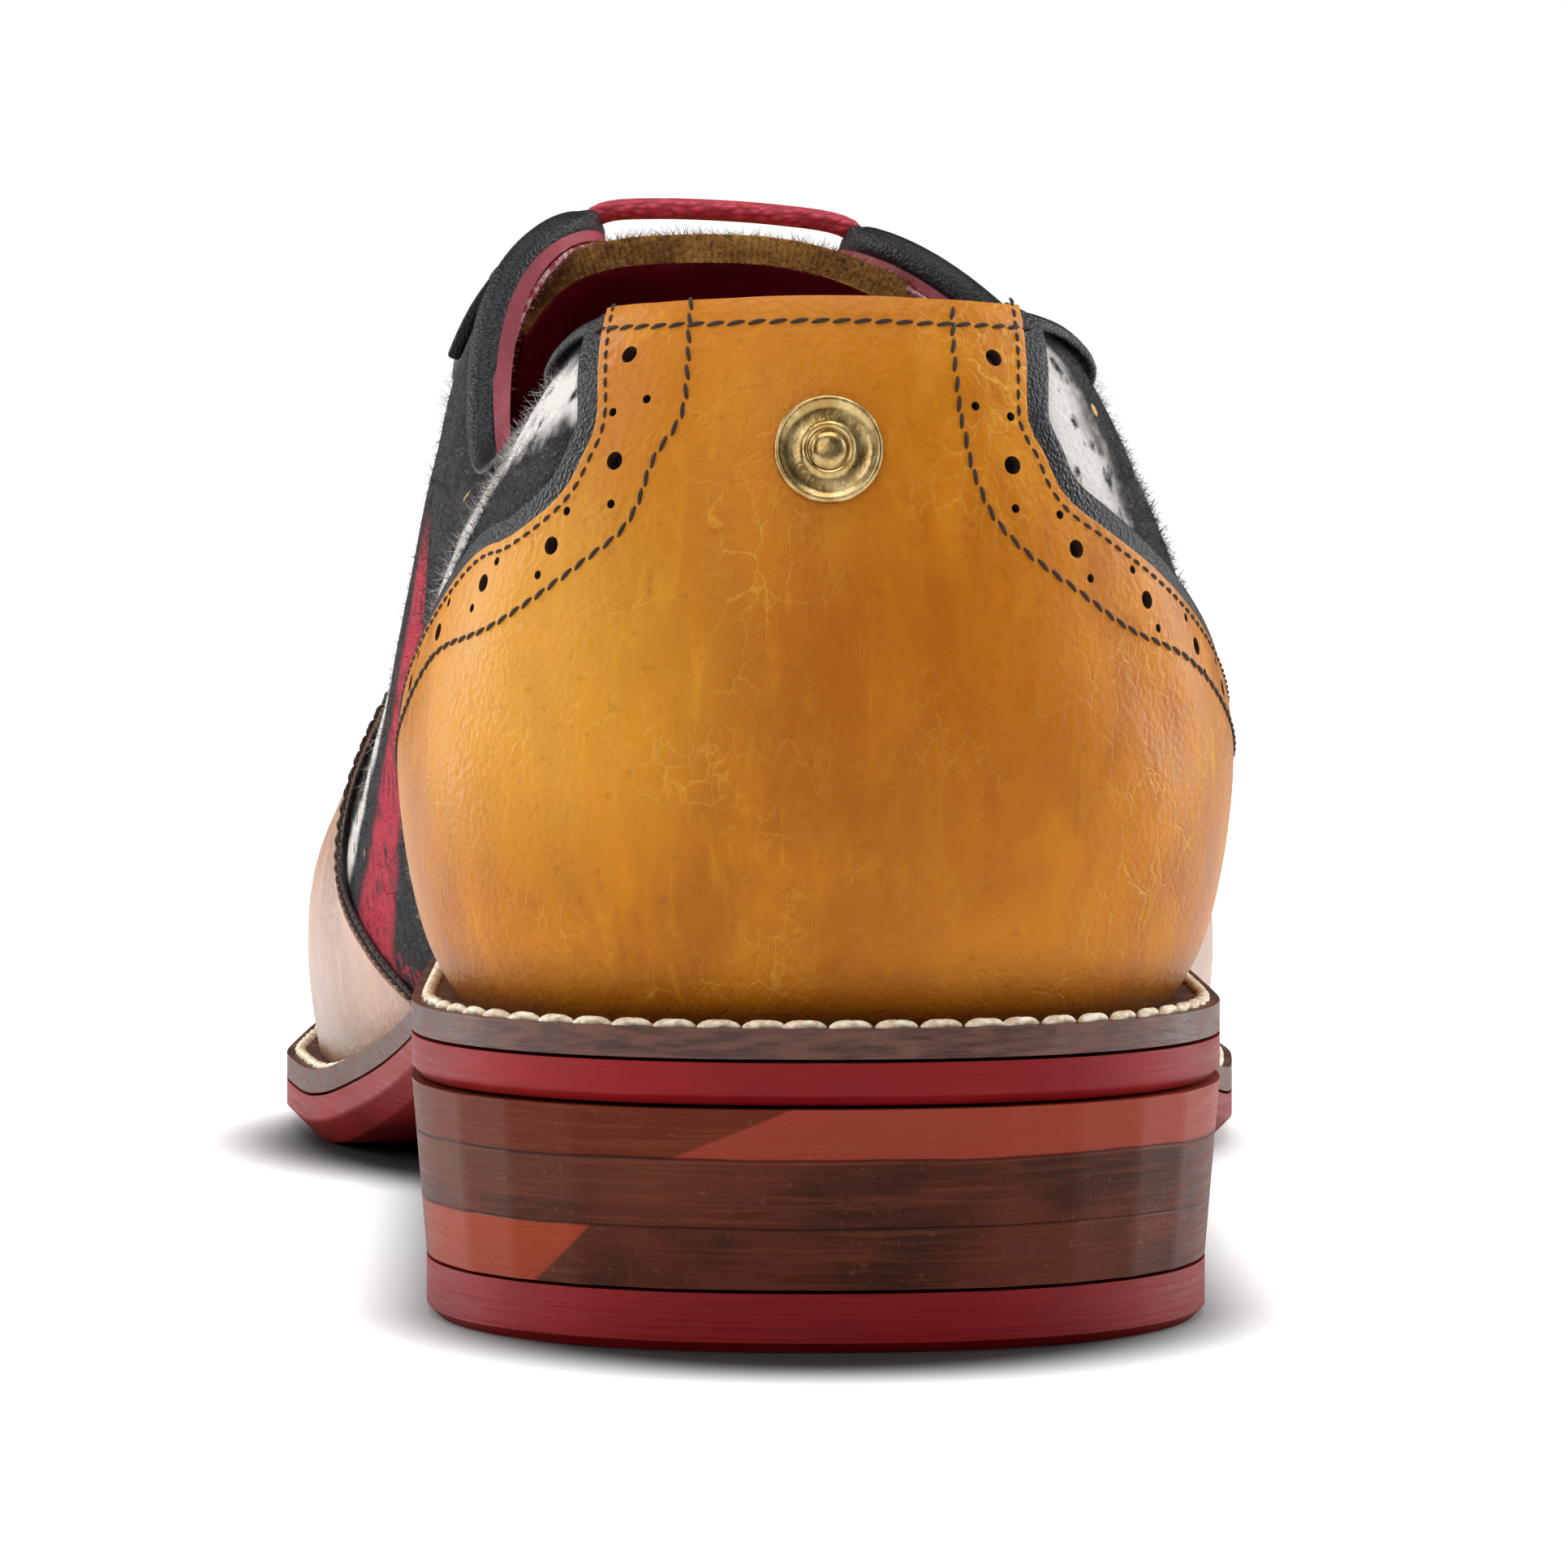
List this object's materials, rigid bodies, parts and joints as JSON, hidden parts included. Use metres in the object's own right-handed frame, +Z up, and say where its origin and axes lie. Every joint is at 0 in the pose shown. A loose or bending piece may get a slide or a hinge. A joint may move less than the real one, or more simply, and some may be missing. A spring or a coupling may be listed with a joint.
{
  "type": "brogue",
  "caption": "Laced leather and wool brogue for the right foot, with a pinked counter and toe cap, a bound topline, a welted sole and a stacked heel.",
  "frame": {"origin": "centre of the bounding box on the floor", "axes": "+Y to the toe, +X to the lateral side, +Z up"},
  "size_m": [0.0974, 0.2994, 0.0953],
  "materials": {
    "red_leather": "red dyed sole leather, burnished edge",
    "stacked_leather": "stacked brown leather, polished edge",
    "welt_leather": "brown welt leather with cream stitches",
    "lining_leather": "matt dark red lining leather",
    "wool_felt": "hairy felted wool, charcoal with off-white and red",
    "mustard_leather": "waxed mustard leather, semi-gloss, fine cracks",
    "tan_leather": "smooth tan leather, semi-gloss",
    "black_leather": "fine-grained black leather, glossy",
    "suede": "mustard tan suede with a red lining",
    "brass": "polished brass",
    "waxed_cord": "round waxed red cord"
  },
  "bodies": {
    "root": {"top_lift": "red_leather", "heel_stack": "stacked_leather", "outsole": "red_leather", "welt": "welt_leather", "insole": "lining_leather", "upper": "wool_felt", "counter": "mustard_leather", "vamp": "tan_leather", "toe_cap": "mustard_leather", "eyestay_medial": "black_leather", "eyestay_lateral": "black_leather", "topline_binding": "black_leather", "tongue": "suede", "rivet": "brass", "lace_bar_1": "waxed_cord", "lace_bar_2": "waxed_cord", "lace_bar_3": "waxed_cord", "lace_bar_4": "waxed_cord", "lace_bar_5": "waxed_cord"}
  },
  "joints": []
}
